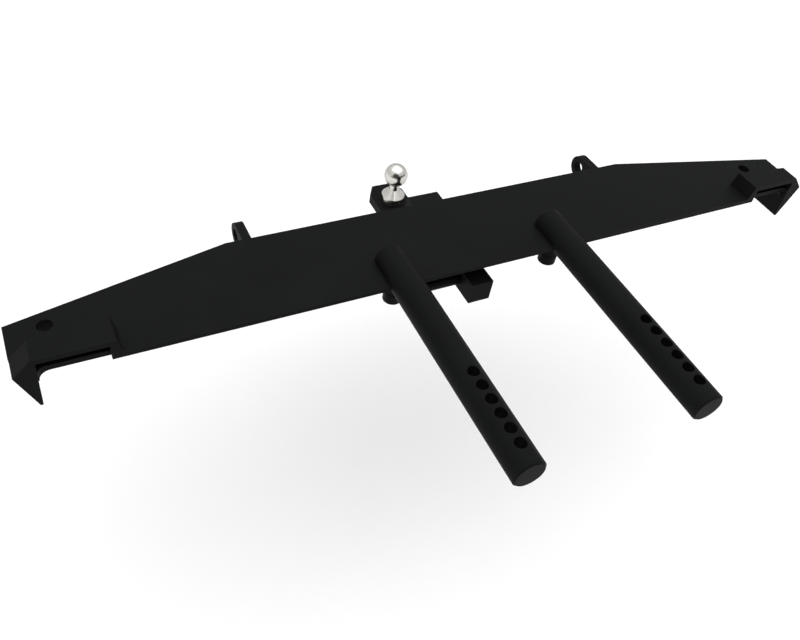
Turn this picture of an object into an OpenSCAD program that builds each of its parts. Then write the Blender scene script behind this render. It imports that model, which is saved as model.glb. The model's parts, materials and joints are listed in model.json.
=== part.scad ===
// Rear bumper for a scale model truck: a flat step plate with two corner
// hoods, two drilled mounting posts, two shackle lugs and a receiver with a
// sliding drop hitch and tow ball. Millimetres. X runs along the bumper, +Y
// to the rear of the vehicle and +Z up. The origin is the middle of the
// plate's front edge, on its top face.

/* [Plate] */
// Whole width of the plate
plate_w = 190; // [180:1:200]
// Width of the straight part of the rear edge
plate_straight_w = 102; // [80:1:120]
// Depth of the plate in the middle
plate_depth = 22.6; // [20:0.1:26]
// Depth of the plate at its ends
plate_end_depth = 12.7; // [11.5:0.1:15]
// Thickness of the plate
plate_t = 1.2; // [1:0.1:1.4]
// Radius of the mounting hole at each end of the plate
end_hole_r = 1.5; // [1:0.1:1.6]

/* [Corner hoods] */
// Distance from the middle to a hood's inner wall
hood_x = 77.3; // [72:0.1:80]
// Height of a hood above the plate
hood_h = 3.5; // [3:0.1:5]
// Depth of a hood from front to back at its inner wall
hood_depth = 6.6; // [6:0.1:7]
// Depth of a hood from front to back at its outer shoulder
hood_outer_depth = 4.8; // [4.4:0.1:6]
// How far a hood's inner wall leans out at its foot
hood_flare = 0.9; // [0:0.1:1.2]
// Thickness of a hood's top and walls
hood_wall = 1.2; // [0.8:0.1:1.5]
// Depth of the fang below the plate's top face
fang_drop = 8.6; // [6:0.1:10]
// Length of the fang under the plate
fang_len = 8.6; // [8:0.1:9]

/* [Posts] */
// Distance between the two post axes
post_spacing = 40.4; // [36:0.1:44]
// Radius of a post
post_r = 3.4; // [3:0.1:3.6]
// Height of the post axis above the plate's top face
post_z = 0.35; // [0:0.05:0.6]
// Length of a post in front of the plate
post_reach = 49; // [45:1:60]
// Length of a post over the plate
post_over = 8.4; // [7.5:0.1:10]
// Number of cross holes in a post
hole_count = 6; // [3:1:6]
// Distance between neighbouring cross holes
hole_pitch = 3.32; // [3.1:0.02:3.6]
// Distance from the plate to the first cross hole
hole_start = 27.7; // [24:0.1:29]
// Radius of a cross hole
hole_r = 1.25; // [1:0.05:1.4]

/* [Shackle lugs] */
// Distance from the middle to a lug's inner face
lug_x = 45; // [40:0.1:50]
// Thickness of a lug
lug_t = 2; // [1.8:0.1:2.4]
// Radius of a lug's round end
lug_r = 2.9; // [2.6:0.1:3.2]
// Distance from the plate's front edge to a lug's hole
lug_y = 28.8; // [27.5:0.1:30]
// Radius of a lug's hole
lug_hole_r = 1.6; // [1.2:0.1:1.8]

/* [Receiver and hitch] */
// Outer width of the square receiver tube
tube_w = 5.4; // [5:0.1:6]
// Height of the receiver's centre below the plate's top face
tube_drop = 8.9; // [8.5:0.1:9.5]
// Distance from the plate's front edge to the mouth of the receiver
tube_len = 30.8; // [29:0.1:33]
// Width of the square drawbar
bar_w = 3.4; // [3:0.1:3.6]
// Width of the square collar at the mouth
collar_w = 8.2; // [7.4:0.1:8.4]
// Width of the tongue
tongue_w = 9.4; // [8:0.1:11]
// Depth of the tongue's top face below the plate's top face
tongue_drop = 17.2; // [16:0.1:19]
// Distance from the plate's front edge to the tongue's rear edge
tongue_end = 51.5; // [50:0.1:54]
// Distance from the plate's front edge to the ball
ball_y = 44.5; // [43.5:0.1:46]
// Radius of the tow ball
ball_r = 3; // [2.8:0.1:3.1]

/* [Hidden] */
$fn = 64;

// Chamfer round each end of a post
post_chamfer = 0.4;
// A cut passes this far through the face it opens
cut = 0.5;
// Gap around a screw's shank
screw_gap = 0.05;

half_w = plate_w / 2;
post_x = post_spacing / 2;

// The outline of a hood from the front: a flat top, a sloping shoulder and a tapering fang
shoulder_x = half_w - 3.6;
point_x = half_w - 0.1;
fang_in_x = half_w - 4.1;
tip_in_x = half_w - 3.6;
tip_out_x = half_w - 3.1;
// The plate's front edge steps back under each hood
setback = 1.2;
setback_r = 1.5;
fillet_r = 2.2;
// How far the fillet reaches into its fang
fillet_root = 0.6;

// The end holes
left_hole = [-88, 10.8];
right_hole = [85.2, 11];
boss_r = 2.3;
boss_h = 2.4;

// A lug's front end, and how far its round end drops below the plate
lug_front = 15;
lug_droop = 0.2;

// The screw that holds each post from below
screw_y = 4.2;
screw_r = 1.2;
head_r = 2.1;
head_h = 2.4;
head_bottom = -8.3;
socket_r = 1.15;
socket_depth = 1.2;
screw_top = 2.2;
spacer_r = 2;

// The receiver and what slides in it
bar_gap = 0.05;
bar_front = 3.2;
bore_front = 2.6;
bar_rear = 31;
collar_len = 4;
hanger_front = 8;
hanger_rear = 21;
clamp_y = 5.6;
clamp_r = 1.3;
clamp_end_x = -13;
clamp_socket_r = 0.75;
drop_t = 2;
tongue_t = 2.4;
tongue_chamfer_x = 2;
tongue_chamfer_y = 3.2;

// The tow ball and its nut
ball_rise = 8.25;
neck_r = 1.25;
flange_r = 3;
flange_h = 2.2;
cone_h = 1.8;
shank_r = 1.45;
shank_below = 4.2;
washer_r = 3;
washer_t = 0.5;
nut_r = 3.1;
nut_h = 2.4;

// A cylinder that runs along X, from x0 to x1
module x_rod(r, x0, x1, y, z) {
    translate([x0, y, z]) rotate([0, 90, 0]) cylinder(r = r, h = x1 - x0);
}

// A flat shape drawn in X and Z, given depth along Y from y0 to y1
module along_y(y0, y1) {
    translate([0, y1, 0]) rotate([90, 0, 0]) linear_extrude(y1 - y0) children();
}

// A flat shape drawn in Y and Z, given thickness along X from x0 to x1
module along_x(x0, x1) {
    translate([x0, 0, 0]) rotate([90, 0, 90]) linear_extrude(x1 - x0) children();
}

// A square bar along Y, centred on the receiver's axis
module square_bar(w, y0, y1) {
    translate([-w / 2, y0, -tube_drop - w / 2]) cube([w, y1 - y0, w]);
}

module plate_outline() {
    polygon([[-half_w, plate_end_depth], [-half_w, 0], [half_w, 0], [half_w, plate_end_depth],
             [plate_straight_w / 2, plate_depth], [-plate_straight_w / 2, plate_depth]]);
}

// What a hood takes out of one end of the plate: its fang's place and the stepped front edge
module hood_notch() {
    translate([fang_in_x, -cut]) square([half_w, hood_outer_depth + cut]);
    difference() {
        translate([hood_x + hood_wall, -cut]) square([fang_in_x - hood_x - hood_wall, setback + cut]);
        translate([fang_in_x - setback_r, -cut]) square([setback_r + cut, setback + 2 * cut]);
    }
    translate([fang_in_x - setback_r, setback - setback_r]) intersection() {
        circle(r = setback_r);
        translate([-cut, -setback_r]) square([setback_r + cut, 2 * setback_r]);
    }
}

module bumper_plate() {
    color([0.05, 0.05, 0.055]) difference() {
        translate([0, 0, -plate_t]) linear_extrude(plate_t) difference() {
            plate_outline();
            hood_notch();
            mirror([1, 0]) hood_notch();
        }
        for (hole = [left_hole, right_hole]) {
            translate([hole[0], hole[1], -plate_t - cut]) cylinder(r = end_hole_r, h = plate_t + 2 * cut);
        }
        for (x = [-post_x, post_x]) {
            translate([x, screw_y, -plate_t - cut]) cylinder(r = screw_r + screw_gap, h = plate_t + 2 * cut);
        }
    }
}

// A hood's outline from above, smaller by a margin behind; its rear edge slants forward to the shoulder
module hood_outline(margin) {
    inner_x = hood_x - hood_flare + margin;
    polygon([[inner_x, -cut], [inner_x, hood_depth - margin],
             [fang_in_x, hood_outer_depth - margin], [half_w, hood_outer_depth - margin], [half_w, -cut]]);
}

// The round inside corner between a fang and the plate's underside
module fang_fillet() {
    along_y(setback, hood_outer_depth) difference() {
        translate([fang_in_x - fillet_r, -plate_t - fillet_r]) square([fillet_r + fillet_root, fillet_r]);
        translate([fang_in_x - fillet_r, -plate_t - fillet_r]) circle(r = fillet_r);
    }
}

// A corner hood stands on the plate, open to the front, with a fang that hangs below
module hood() {
    intersection() {
        difference() {
            along_y(0, hood_depth) polygon([[hood_x - hood_flare, 0], [hood_x, hood_h], [shoulder_x, hood_h],
                                            [point_x, 0], [tip_out_x, -fang_drop],
                                            [tip_in_x, -fang_drop], [fang_in_x, 0]]);
            translate([0, 0, -cut]) linear_extrude(hood_h - hood_wall + cut) intersection() {
                hood_outline(hood_wall);
                translate([hood_x + hood_wall, -cut]) square([fang_in_x - hood_x - hood_wall, plate_depth]);
            }
        }
        translate([0, 0, -fang_drop - cut]) linear_extrude(fang_drop + hood_h + 2 * cut) hood_outline(0);
    }
    intersection() {
        along_y(hood_outer_depth, fang_len) polygon([[fang_in_x, 0], [point_x, 0], [tip_out_x, -fang_drop],
                                                     [tip_in_x, -fang_drop]]);
        translate([hood_x, 0, -fang_drop - cut]) cube([half_w, plate_depth, fang_drop + cut - plate_t]);
    }
    fang_fillet();
}

module left_hood() {
    color([0.05, 0.05, 0.055]) mirror([1, 0, 0]) hood();
}

module right_hood() {
    color([0.05, 0.05, 0.055]) hood();
}

// A post straddles the plate's front edge in a milled slot and is drilled across for adjustment
module post(x) {
    color([0.05, 0.05, 0.055]) difference() {
        translate([x, post_over, post_z]) rotate([90, 0, 0]) union() {
            translate([0, 0, post_chamfer])
                cylinder(r = post_r, h = post_over + post_reach - 2 * post_chamfer);
            cylinder(r1 = post_r - post_chamfer, r2 = post_r, h = post_chamfer);
            translate([0, 0, post_over + post_reach - post_chamfer])
                cylinder(r1 = post_r, r2 = post_r - post_chamfer, h = post_chamfer);
        }
        translate([x - post_r - cut, 0, -plate_t]) cube([2 * (post_r + cut), post_over + cut, plate_t]);
        for (i = [0 : hole_count - 1]) {
            translate([x, -hole_start - i * hole_pitch, post_z - post_r - cut])
                cylinder(r = hole_r, h = 2 * (post_r + cut));
        }
        translate([x, screw_y, post_z - post_r - cut])
            cylinder(r = screw_r + screw_gap, h = screw_top + screw_gap - post_z + post_r + cut);
    }
}

module left_post() {
    post(-post_x);
}

module right_post() {
    post(post_x);
}

// A spacer with a saddled top fills the gap between a post and its screw's head
module post_spacer(x) {
    color([0.05, 0.05, 0.055]) difference() {
        translate([x, screw_y, head_bottom + head_h])
            cylinder(r = spacer_r, h = post_z - head_bottom - head_h);
        translate([x, post_over + cut, post_z]) rotate([90, 0, 0])
            cylinder(r = post_r, h = post_over + 2 * cut);
        translate([x, screw_y, head_bottom]) cylinder(r = screw_r + screw_gap, h = -head_bottom);
    }
}

module left_post_spacer() {
    post_spacer(-post_x);
}

module right_post_spacer() {
    post_spacer(post_x);
}

module post_screws() {
    color([0.08, 0.08, 0.085]) for (x = [-post_x, post_x]) {
        translate([x, screw_y, 0]) difference() {
            union() {
                translate([0, 0, head_bottom]) cylinder(r = head_r, h = head_h);
                translate([0, 0, head_bottom]) cylinder(r = screw_r, h = screw_top - head_bottom);
            }
            translate([0, 0, head_bottom - cut]) cylinder(r = socket_r, h = socket_depth + cut, $fn = 6);
        }
    }
}

// A ring under each end hole makes it deep enough for a screw
module end_bosses() {
    color([0.05, 0.05, 0.055]) for (hole = [left_hole, right_hole]) {
        translate([hole[0], hole[1], -plate_t - boss_h]) difference() {
            cylinder(r = boss_r, h = boss_h);
            translate([0, 0, -cut]) cylinder(r = end_hole_r, h = boss_h + 2 * cut);
        }
    }
}

// A shackle lug hangs under the plate and reaches out behind it
module lug(x0) {
    lug_z = -plate_t - lug_droop - lug_r;
    color([0.05, 0.05, 0.055]) difference() {
        union() {
            x_rod(lug_r, x0, x0 + lug_t, lug_y, lug_z);
            along_x(x0, x0 + lug_t) polygon([[lug_front, -plate_t], [lug_front, lug_z],
                                             [lug_front + lug_r, lug_z - lug_r], [lug_y, lug_z - lug_r],
                                             [lug_y, lug_z + lug_r], [plate_depth - 1, -plate_t]]);
        }
        x_rod(lug_hole_r, x0 - cut, x0 + lug_t + cut, lug_y, lug_z);
    }
}

module left_lug() {
    lug(-lug_x - lug_t);
}

module right_lug() {
    lug(lug_x);
}

// The receiver is closed in front and open behind
module receiver_tube() {
    color([0.05, 0.05, 0.055]) difference() {
        square_bar(tube_w, 0, tube_len);
        square_bar(bar_w + 2 * bar_gap, bore_front, tube_len + cut);
        x_rod(clamp_r + screw_gap, -tube_w, 0, clamp_y, -tube_drop);
    }
}

module receiver_collar() {
    color([0.05, 0.05, 0.055]) difference() {
        square_bar(collar_w, tube_len - collar_len, tube_len);
        square_bar(tube_w, tube_len - collar_len - cut, tube_len + cut);
    }
}

module receiver_hanger() {
    color([0.05, 0.05, 0.055]) translate([-tube_w / 2, hanger_front, -tube_drop + tube_w / 2])
        cube([tube_w, hanger_rear - hanger_front, tube_drop - tube_w / 2 - plate_t]);
}

// The clamp screw comes in from the left and bears on the side of the drawbar
module clamp_screw() {
    color([0.08, 0.08, 0.085]) difference() {
        x_rod(clamp_r, clamp_end_x, -bar_w / 2 - bar_gap, clamp_y, -tube_drop);
        translate([clamp_end_x - cut, clamp_y, -tube_drop]) rotate([0, 90, 0])
            cylinder(r = clamp_socket_r, h = socket_depth + cut, $fn = 6);
    }
}

module drawbar() {
    color([0.05, 0.05, 0.055]) square_bar(bar_w, bar_front, bar_rear);
}

module drop_plate() {
    color([0.05, 0.05, 0.055]) translate([-tube_w / 2, bar_rear, -tongue_drop])
        cube([tube_w, drop_t, tongue_drop - tube_drop + bar_w / 2]);
}

module tongue() {
    color([0.05, 0.05, 0.055]) translate([0, 0, -tongue_drop - tongue_t]) difference() {
        linear_extrude(tongue_t) polygon([
            [-tongue_w / 2, bar_rear], [tongue_w / 2, bar_rear],
            [tongue_w / 2, tongue_end - tongue_chamfer_y], [tongue_w / 2 - tongue_chamfer_x, tongue_end],
            [-tongue_w / 2 + tongue_chamfer_x, tongue_end], [-tongue_w / 2, tongue_end - tongue_chamfer_y]]);
        translate([0, ball_y, -cut]) cylinder(r = shank_r + screw_gap, h = tongue_t + 2 * cut);
    }
}

module tow_ball() {
    color([0.8, 0.8, 0.8]) translate([0, ball_y, -tongue_drop]) {
        translate([0, 0, ball_rise]) sphere(r = ball_r);
        cylinder(r = neck_r, h = ball_rise);
        cylinder(r = flange_r, h = flange_h);
        translate([0, 0, flange_h]) cylinder(r1 = flange_r, r2 = neck_r, h = cone_h);
        translate([0, 0, -tongue_t - washer_t - shank_below]) cylinder(r = shank_r, h = tongue_t + washer_t
                                                                       + shank_below);
    }
}

module ball_washer() {
    color([0.7, 0.7, 0.7]) translate([0, ball_y, -tongue_drop - tongue_t - washer_t]) difference() {
        cylinder(r = washer_r, h = washer_t);
        translate([0, 0, -cut]) cylinder(r = shank_r + screw_gap, h = washer_t + 2 * cut);
    }
}

module ball_nut() {
    color([0.7, 0.7, 0.7]) translate([0, ball_y, -tongue_drop - tongue_t - washer_t - nut_h]) difference() {
        cylinder(r = nut_r, h = nut_h, $fn = 6);
        translate([0, 0, -cut]) cylinder(r = shank_r + screw_gap, h = nut_h + 2 * cut);
    }
}

bumper_plate();
left_hood();
right_hood();
left_post();
right_post();
left_post_spacer();
right_post_spacer();
post_screws();
end_bosses();
left_lug();
right_lug();
receiver_tube();
receiver_collar();
receiver_hanger();
clamp_screw();
drawbar();
drop_plate();
tongue();
tow_ball();
ball_washer();
ball_nut();
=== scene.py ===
"""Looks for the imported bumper: bevelled black anodised aluminium, black screws and a polished ball."""

import json
import math

import bpy
from mathutils import Matrix, Vector


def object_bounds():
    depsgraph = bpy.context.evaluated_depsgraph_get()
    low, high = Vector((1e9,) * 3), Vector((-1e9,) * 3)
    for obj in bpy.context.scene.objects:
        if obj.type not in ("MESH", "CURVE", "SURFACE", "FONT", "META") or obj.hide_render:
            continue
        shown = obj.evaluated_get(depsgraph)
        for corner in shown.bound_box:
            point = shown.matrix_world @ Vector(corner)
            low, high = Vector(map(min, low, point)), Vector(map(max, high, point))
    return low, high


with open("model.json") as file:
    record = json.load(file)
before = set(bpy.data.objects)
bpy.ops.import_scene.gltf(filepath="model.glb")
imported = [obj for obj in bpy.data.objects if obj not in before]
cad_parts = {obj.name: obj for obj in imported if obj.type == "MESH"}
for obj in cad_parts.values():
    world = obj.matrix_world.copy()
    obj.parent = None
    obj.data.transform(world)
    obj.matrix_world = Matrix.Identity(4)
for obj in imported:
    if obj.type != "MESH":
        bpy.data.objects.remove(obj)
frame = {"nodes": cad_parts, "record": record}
CAD_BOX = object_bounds()

MM = 0.001
NODES = frame["nodes"]

# ---------------------------------------------------------------- camera

# The camera stands in front of the left end and looks back and down along the bumper
CAMERA_AT = Vector((-84.39, -98.51, 111.91)) * MM
CAMERA_TURN = (2.362, -0.473, 0.361)
FOCAL_LENGTHS_PER_WIDTH = 0.98723
SENSOR_WIDTH = 36.0


def add_camera():
    """A camera whose turn is a rotation vector from the row frame to image right, image down and forwards."""
    turn = Vector(CAMERA_TURN)
    to_image = Matrix.Rotation(turn.length, 3, turn.normalized())
    right, down, forward = to_image.row
    camera = bpy.data.cameras.new("camera")
    camera.sensor_width = SENSOR_WIDTH
    camera.lens = SENSOR_WIDTH * FOCAL_LENGTHS_PER_WIDTH
    camera.clip_start = 1 * MM
    obj = bpy.data.objects.new("camera", camera)
    axes = Matrix((right, -down, -forward)).transposed()
    obj.matrix_world = Matrix.Translation(CAMERA_AT) @ axes.to_4x4()
    bpy.context.scene.collection.objects.link(obj)
    bpy.context.scene.camera = obj


# ---------------------------------------------------------------- materials

# Sizes of the black finish: cells per metre of its clouds and grain, width of worn edges, depth of the grain
CLOUD_SCALE = 60.0
GRAIN_SCALE = 5200.0
WEAR_WIDTH = 0.22 * MM
GRAIN_DEPTH = 0.010 * MM
ANODISED_BLACK = (0.0078, 0.0082, 0.0086)
ANODISED_WORN = (0.0135, 0.0140, 0.0145)
ANODISED_DARKER = 0.82
ANODISED_ROUGHNESS = (0.47, 0.54)
ANODISED_GLOSS = 0.03

# Black oxide of the screws
OXIDE_BLACK = (0.003, 0.003, 0.0033)
OXIDE_PALE = (0.006, 0.006, 0.0065)
OXIDE_GRAIN_SCALE = 3500.0
OXIDE_GRAIN_DEPTH = 0.006 * MM
OXIDE_PATCH_SCALE = 160.0
OXIDE_ROUGHNESS = (0.40, 0.55)
OXIDE_GLOSS = 0.05

# Bright metal: its turned rings and smudges, and how much darker it looks at a glancing angle
RING_SCALE = 2600.0
RING_DEPTH = 0.003 * MM
SMUDGE_SCALE = 420.0
SMUDGE_DARKER = 0.88
RIM_TINT = (0.5, 0.5, 0.5, 1.0)
BALL_STEEL = (0.70, 0.685, 0.645)
ZINC = (0.66, 0.66, 0.65)

class Nodes:
    """A material's node tree, with short calls for adding nodes and links."""

    def __init__(self, name):
        self.material = bpy.data.materials.new(name)
        self.material.use_nodes = True
        self.tree = self.material.node_tree
        self.shader = self.tree.nodes["Principled BSDF"]
        self.place = self.add("ShaderNodeTexCoord").outputs["Object"]

    def add(self, kind, **inputs):
        """A new node, with input values given by name and underscores for spaces."""
        node = self.tree.nodes.new(kind)
        for name, value in inputs.items():
            node.inputs[name.replace("_", " ")].default_value = value
        return node

    def link(self, source, target):
        self.tree.links.new(source, target)

    def noise(self, scale, detail=4.0, stretch=(1.0, 1.0, 1.0)):
        """Noise between 0 and 1, scale in cells per metre, stretched along an axis by a small factor."""
        mapping = self.add("ShaderNodeMapping")
        mapping.inputs["Scale"].default_value = stretch
        self.link(self.place, mapping.inputs["Vector"])
        noise = self.add("ShaderNodeTexNoise", Scale=scale, Detail=detail)
        self.link(mapping.outputs["Vector"], noise.inputs["Vector"])
        return noise.outputs["Fac"]

    def ramp(self, source, low, high, at=(0.35, 0.65)):
        """The source mapped to low and high, colours or grey values, between two positions."""
        ramp = self.add("ShaderNodeValToRGB")
        for stop, value, position in zip(ramp.color_ramp.elements, (low, high), at):
            stop.color = (*value, 1.0) if isinstance(value, tuple) else (value, value, value, 1.0)
            stop.position = position
        self.link(source, ramp.inputs["Fac"])
        return ramp.outputs["Color"]

    def mix(self, factor, a, b):
        """A blend of two colours or colour sockets."""
        mix = self.add("ShaderNodeMix")
        mix.data_type = "RGBA"
        self.link(factor, mix.inputs["Factor"])
        for value, name in ((a, "A"), (b, "B")):
            socket = next(s for s in mix.inputs if s.name == name and s.type == "RGBA")
            if isinstance(value, tuple):
                socket.default_value = (*value, 1.0)
            else:
                self.link(value, socket)
        return next(s for s in mix.outputs if s.type == "RGBA")

    def edges(self, width):
        """1 on worn convex edges and 0 elsewhere, from the difference between bevelled and true normals."""
        bevel = self.add("ShaderNodeBevel", Radius=width)
        bevel.samples = 6
        geometry = self.add("ShaderNodeNewGeometry")
        dot = self.add("ShaderNodeVectorMath")
        dot.operation = "DOT_PRODUCT"
        self.link(bevel.outputs["Normal"], dot.inputs[0])
        self.link(geometry.outputs["True Normal"], dot.inputs[1])
        return self.ramp(dot.outputs["Value"], 1.0, 0.0, at=(0.80, 0.97))

    def bump(self, height, distance, strength=1.0):
        """Surface relief as deep as distance."""
        bump = self.add("ShaderNodeBump", Distance=distance, Strength=strength)
        self.link(height, bump.inputs["Height"])
        self.link(bump.outputs["Normal"], self.shader.inputs["Normal"])

    def to(self, source, name):
        """Links a socket to one of the shader's inputs."""
        self.link(source, self.shader.inputs[name])


def anodised():
    """Bead-blasted black anodised aluminium: fine grain, soft cloudy patches and slightly paler edges."""
    m = Nodes("black_anodised")
    clouds = m.noise(CLOUD_SCALE, detail=3.0)
    grain = m.noise(GRAIN_SCALE, detail=2.0)
    darker = tuple(v * ANODISED_DARKER for v in ANODISED_BLACK)
    colour = m.ramp(clouds, darker, ANODISED_BLACK)
    wear = m.edges(WEAR_WIDTH)
    m.to(m.mix(wear, colour, ANODISED_WORN), "Base Color")
    m.to(m.ramp(clouds, *ANODISED_ROUGHNESS), "Roughness")
    m.bump(grain, GRAIN_DEPTH)
    m.shader.inputs["Specular IOR Level"].default_value = ANODISED_GLOSS
    return m.material


def black_steel():
    """Black oxide steel, darker than the anodised parts."""
    m = Nodes("black_steel")
    grain = m.noise(OXIDE_GRAIN_SCALE, detail=3.0)
    m.to(m.ramp(grain, OXIDE_BLACK, OXIDE_PALE), "Base Color")
    m.to(m.ramp(m.noise(OXIDE_PATCH_SCALE), *OXIDE_ROUGHNESS), "Roughness")
    m.bump(grain, OXIDE_GRAIN_DEPTH)
    m.shader.inputs["Specular IOR Level"].default_value = OXIDE_GLOSS
    return m.material


def bright_steel(name, colour, rough, streak):
    """Turned steel: bright, with fine rings round the vertical axis and faint smudges."""
    m = Nodes(name)
    rings = m.noise(RING_SCALE, detail=2.0, stretch=(0.05, 0.05, 1.0))
    smudges = m.noise(SMUDGE_SCALE, detail=4.0)
    dull = tuple(v * SMUDGE_DARKER for v in colour)
    m.to(m.ramp(smudges, dull, colour), "Base Color")
    m.to(m.ramp(smudges, rough, rough + streak, at=(0.3, 0.75)), "Roughness")
    m.bump(rings, RING_DEPTH, strength=0.5)
    m.shader.inputs["Metallic"].default_value = 1.0
    m.shader.inputs["Specular Tint"].default_value = RIM_TINT
    return m.material


def paint_nodes():
    """Gives each CAD node its finish by the record's material slot."""
    finishes = {
        "black_anodised": anodised(),
        "black_steel": black_steel(),
        "polished_steel": bright_steel("polished_steel", BALL_STEEL, 0.17, 0.08),
        "zinc_steel": bright_steel("zinc_steel", ZINC, 0.24, 0.14),
    }
    for part in frame["record"]["subparts"]:
        mesh = NODES[part["node"]].data
        mesh.materials.clear()
        mesh.materials.append(finishes[part["material_slot"]])


# ---------------------------------------------------------------- edges

SMOOTH_ANGLE = math.radians(35)
# Bevel widths in mm of the larger parts, and of all the others
WIDE_EDGES = {
    "bumper_plate": 0.16, "left_hood": 0.18, "right_hood": 0.18, "tongue": 0.2, "receiver_tube": 0.15,
    "receiver_collar": 0.2, "left_lug": 0.2, "right_lug": 0.2, "drop_plate": 0.15,
}
FINE_EDGE = 0.08


def soften(name, width, segments=2):
    """Rounds a CAD node's sharp edges with a modifier, and shades its round faces smooth."""
    obj = NODES[name]
    for polygon in obj.data.polygons:
        polygon.use_smooth = True
    bevel = obj.modifiers.new("bevel", "BEVEL")
    bevel.width = width
    bevel.segments = segments
    bevel.limit_method = "ANGLE"
    bevel.angle_limit = SMOOTH_ANGLE
    bevel.use_clamp_overlap = True
    bevel.harden_normals = True


def soften_nodes():
    """Rounds the edges of every CAD node."""
    for name in NODES:
        soften(name, WIDE_EDGES.get(name, FINE_EDGE) * MM)


# ---------------------------------------------------------------- stage

FLOOR_GAP = 45 * MM
FLOOR_WHITE = 0.93
FLOOR_SIZE = 8.0


def floor_material():
    """Plain white paper."""
    material = bpy.data.materials.new("floor")
    material.use_nodes = True
    shader = material.node_tree.nodes["Principled BSDF"]
    shader.inputs["Base Color"].default_value = (FLOOR_WHITE, FLOOR_WHITE, FLOOR_WHITE, 1.0)
    shader.inputs["Roughness"].default_value = 0.9
    return material


def add_floor():
    """A plain pale floor some way below the bumper, which the photograph shows without a shadow."""
    low = CAD_BOX[0][2] - FLOOR_GAP
    bpy.ops.mesh.primitive_plane_add(size=FLOOR_SIZE, location=(0, 0, low))
    floor = bpy.context.object
    floor.name = "floor"
    floor.data.materials.append(floor_material())


def add_light(name, at, size, power):
    """A rectangular soft light aimed at the bumper."""
    light = bpy.data.lights.new(name, "AREA")
    light.shape = "RECTANGLE"
    light.size, light.size_y = size
    light.energy = power
    obj = bpy.data.objects.new(name, light)
    obj.location = at
    obj.rotation_euler = (-Vector(at)).to_track_quat("-Z", "Y").to_euler()
    bpy.context.scene.collection.objects.link(obj)


# Each light's place in metres, its two sizes and its power in watts
TOP_LIGHT = ((0.1, 0.05, 0.9), (1.4, 1.2), 5.0)
RIGHT_LIGHT = ((0.6, 0.1, 0.6), (0.35, 0.35), 0.1)
# Brightness of the studio against elevation, as the sine of its angle
SKY = ((0.0, 0.78), (0.35, 0.74), (0.62, 0.86), (1.0, 1.30))
# The dark end of the studio, where the photographer stands: its direction and how wide it is
DARK_END = Vector((-0.45, -0.80, 0.35)).normalized()
DARK_FROM, DARK_TO = 0.80, 0.93
DARK_LEVEL = 0.03


def scaled(tree, colour, factor):
    """A colour times a number or another socket's value."""
    scale = tree.nodes.new("ShaderNodeVectorMath")
    scale.operation = "SCALE"
    tree.links.new(colour, scale.inputs[0])
    if isinstance(factor, float):
        scale.inputs["Scale"].default_value = factor
    else:
        tree.links.new(factor, scale.inputs["Scale"])
    return scale.outputs["Vector"]


def add_sky():
    """A soft studio: bright overhead and dimmer towards the walls, with a dark end that the ball reflects."""
    world = bpy.data.worlds.new("studio")
    bpy.context.scene.world = world
    world.use_nodes = True
    tree = world.node_tree
    add, link = tree.nodes.new, tree.links.new
    direction = add("ShaderNodeTexCoord").outputs["Generated"]
    split = add("ShaderNodeSeparateXYZ")
    link(direction, split.inputs["Vector"])
    sky = add("ShaderNodeValToRGB")
    while len(sky.color_ramp.elements) < len(SKY):
        sky.color_ramp.elements.new(0.5)
    brightest = max(level for _, level in SKY)
    for stop, (position, level) in zip(sky.color_ramp.elements, SKY):
        stop.position = position
        stop.color = (level / brightest, level / brightest, level / brightest, 1.0)
    link(split.outputs["Z"], sky.inputs["Fac"])
    towards = add("ShaderNodeVectorMath")
    towards.operation = "DOT_PRODUCT"
    towards.inputs[1].default_value = DARK_END
    link(direction, towards.inputs[0])
    shade = add("ShaderNodeMapRange")
    shade.interpolation_type = "SMOOTHSTEP"
    shade.inputs["From Min"].default_value, shade.inputs["From Max"].default_value = DARK_FROM, DARK_TO
    shade.inputs["To Min"].default_value, shade.inputs["To Max"].default_value = 1.0, DARK_LEVEL
    link(towards.outputs["Value"], shade.inputs["Value"])
    bright = scaled(tree, sky.outputs["Color"], brightest)
    link(scaled(tree, bright, shade.outputs["Result"]), tree.nodes["Background"].inputs["Color"])


def add_lights():
    """A large soft light overhead and a faint one on the right."""
    add_light("top", *TOP_LIGHT)
    add_light("right", *RIGHT_LIGHT)


bpy.context.scene.view_settings.view_transform = "Standard"
add_camera()
soften_nodes()
paint_nodes()
add_floor()
add_sky()
add_lights()
